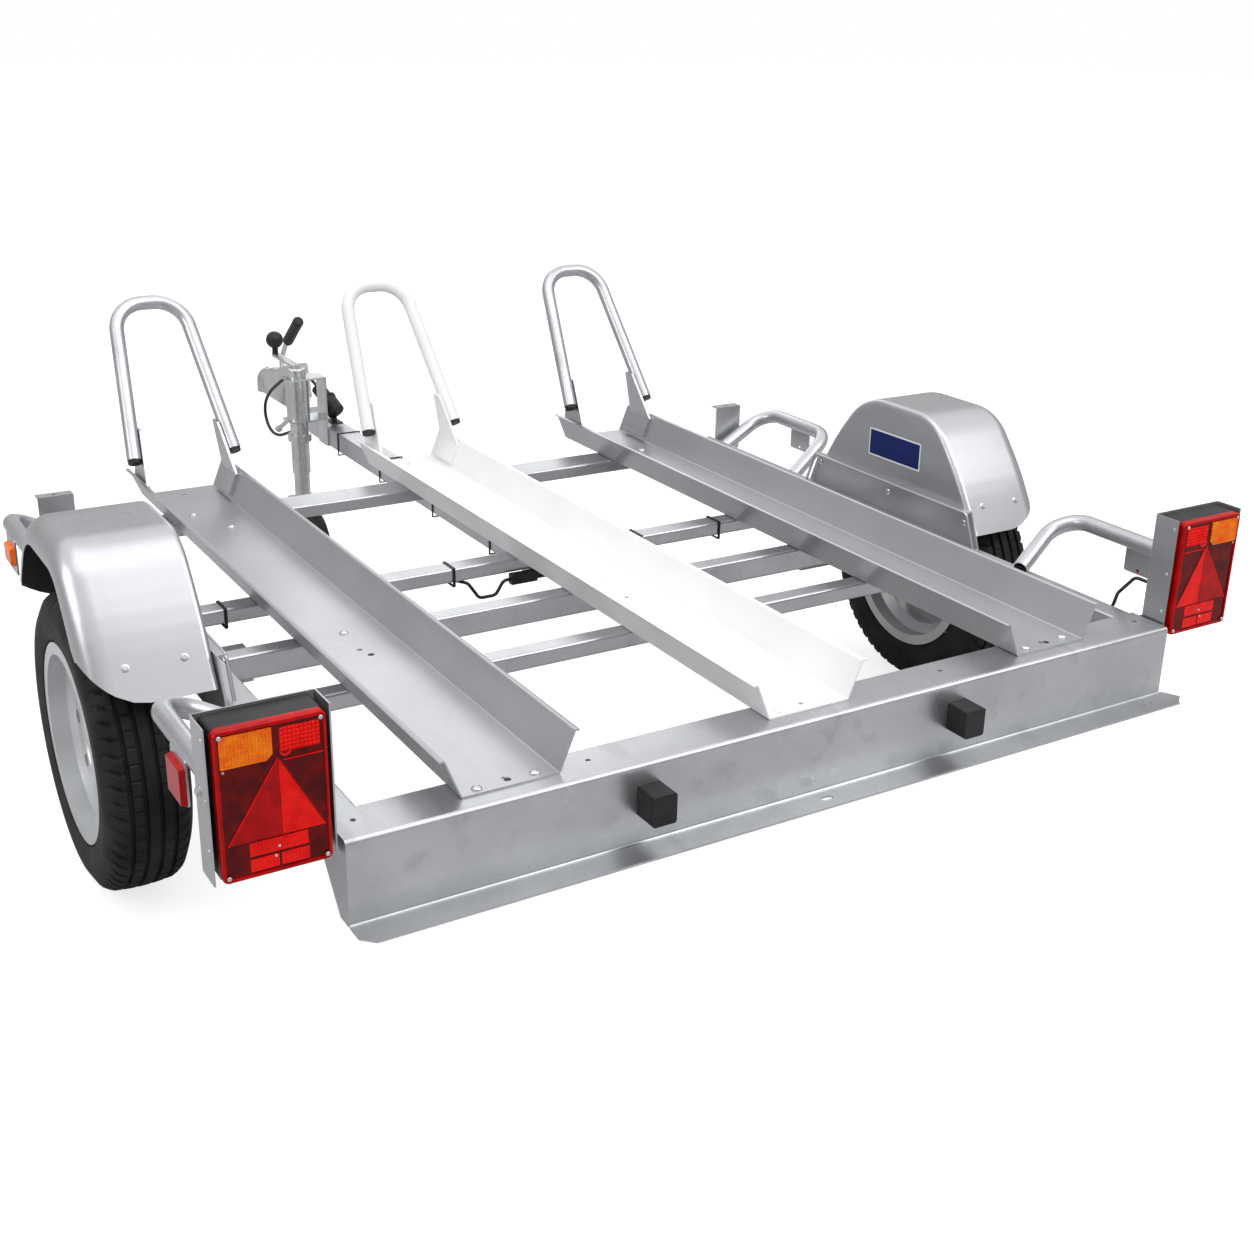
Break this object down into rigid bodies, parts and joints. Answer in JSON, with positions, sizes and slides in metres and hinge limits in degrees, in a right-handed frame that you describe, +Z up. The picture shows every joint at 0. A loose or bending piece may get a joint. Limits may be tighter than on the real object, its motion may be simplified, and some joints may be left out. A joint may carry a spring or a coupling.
{
  "type": "motorcycle trailer",
  "caption": "Open galvanised trailer with wheel rails and front wheel hoops for motorcycles, lamp board trays, mudguards, drawbar and jockey wheel.",
  "frame": {"origin": "on the ground below the middle of the whole length and width", "axes": "+X to the right seen from behind, +Y forward to the coupling, +Z up"},
  "size_m": [2.086, 2.76, 0.854],
  "materials": {
    "galvanised": "hot-dip galvanised steel, dull silver grey with a faint spangle",
    "galvanised_sheet": "galvanised sheet, smoother and a little brighter",
    "mudguard_sheet": "smooth zinc-coated sheet outside, black coating inside",
    "white_sheet": "pale, nearly white coated sheet",
    "white_tube": "pale, nearly white coated tube",
    "zinc_steel": "bright zinc-plated steel",
    "black_steel": "black painted steel",
    "rim_steel": "silver painted steel",
    "tyre_rubber": "black rubber",
    "black_plastic": "black moulded plastic",
    "red_lens": "red transparent lens",
    "amber_lens": "amber transparent lens",
    "clear_lens": "clear lens",
    "cable_black": "black cable sheath"
  },
  "bodies": {
    "trailer": {"arch_plates": "galvanised_sheet", "axle_arms": "black_steel", "axle_units": "galvanised", "cable_plug": "black_plastic", "coupling_grip": "black_plastic", "coupling_handle": "zinc_steel", "coupling_head": "zinc_steel", "crank_knob": "black_plastic", "cross_members": "galvanised", "drawbar": "galvanised", "guard_tubes_front": "galvanised", "guard_tubes_rear": "galvanised", "hoop_centre": "white_tube", "hoop_plugs": "black_plastic", "hoops_outer": "galvanised", "indicator_lenses": "amber_lens", "jockey_clamp": "zinc_steel", "jockey_crank": "zinc_steel", "jockey_outer_tube": "zinc_steel", "lamp_housings": "black_plastic", "lamp_lenses": "red_lens", "lamp_trays": "galvanised_sheet", "lighting_cable": "cable_black", "marker_brackets": "galvanised_sheet", "marker_lamps": "clear_lens", "mudguards": "mudguard_sheet", "plate_lamps": "black_plastic", "plug_holder": "black_plastic", "rail_centre": "white_sheet", "rails_outer": "galvanised_sheet", "rear_beam": "galvanised", "safety_chain": "zinc_steel", "side_members": "galvanised", "side_reflectors_amber": "amber_lens", "side_reflectors_red": "red_lens", "wiring": "cable_black", "wiring_ties": "black_plastic"},
    "wheel_left": {"tyre_left": "tyre_rubber", "rim_left": "rim_steel", "hub_left": "zinc_steel"},
    "wheel_right": {"tyre_right": "tyre_rubber", "rim_right": "rim_steel", "hub_right": "zinc_steel"},
    "jockey_leg": {"jockey_leg": "zinc_steel"},
    "jockey_fork": {"jockey_fork": "zinc_steel"},
    "jockey_wheel": {"jockey_rim": "rim_steel", "jockey_tyre": "tyre_rubber"}
  },
  "joints": [
    {"name": "wheel_left_spin", "type": "hinge", "parent": "trailer", "child": "wheel_left", "pos_m": [-0.959, -0.515, 0.273], "axis": [1, 0, 0], "continuous": true},
    {"name": "wheel_right_spin", "type": "hinge", "parent": "trailer", "child": "wheel_right", "pos_m": [0.959, -0.515, 0.273], "axis": [1, 0, 0], "continuous": true},
    {"name": "jockey_slide", "type": "slide", "parent": "trailer", "child": "jockey_leg", "axis": [0, 0, 1], "range_m": [-0.12, 0.06]},
    {"name": "jockey_swivel", "type": "hinge", "parent": "jockey_leg", "child": "jockey_fork", "pos_m": [-0.1, 0.834, 0.22], "axis": [0, 0, 1], "continuous": true},
    {"name": "jockey_spin", "type": "hinge", "parent": "jockey_fork", "child": "jockey_wheel", "pos_m": [-0.1, 0.789, 0.1], "axis": [1, 0, 0], "continuous": true}
  ]
}
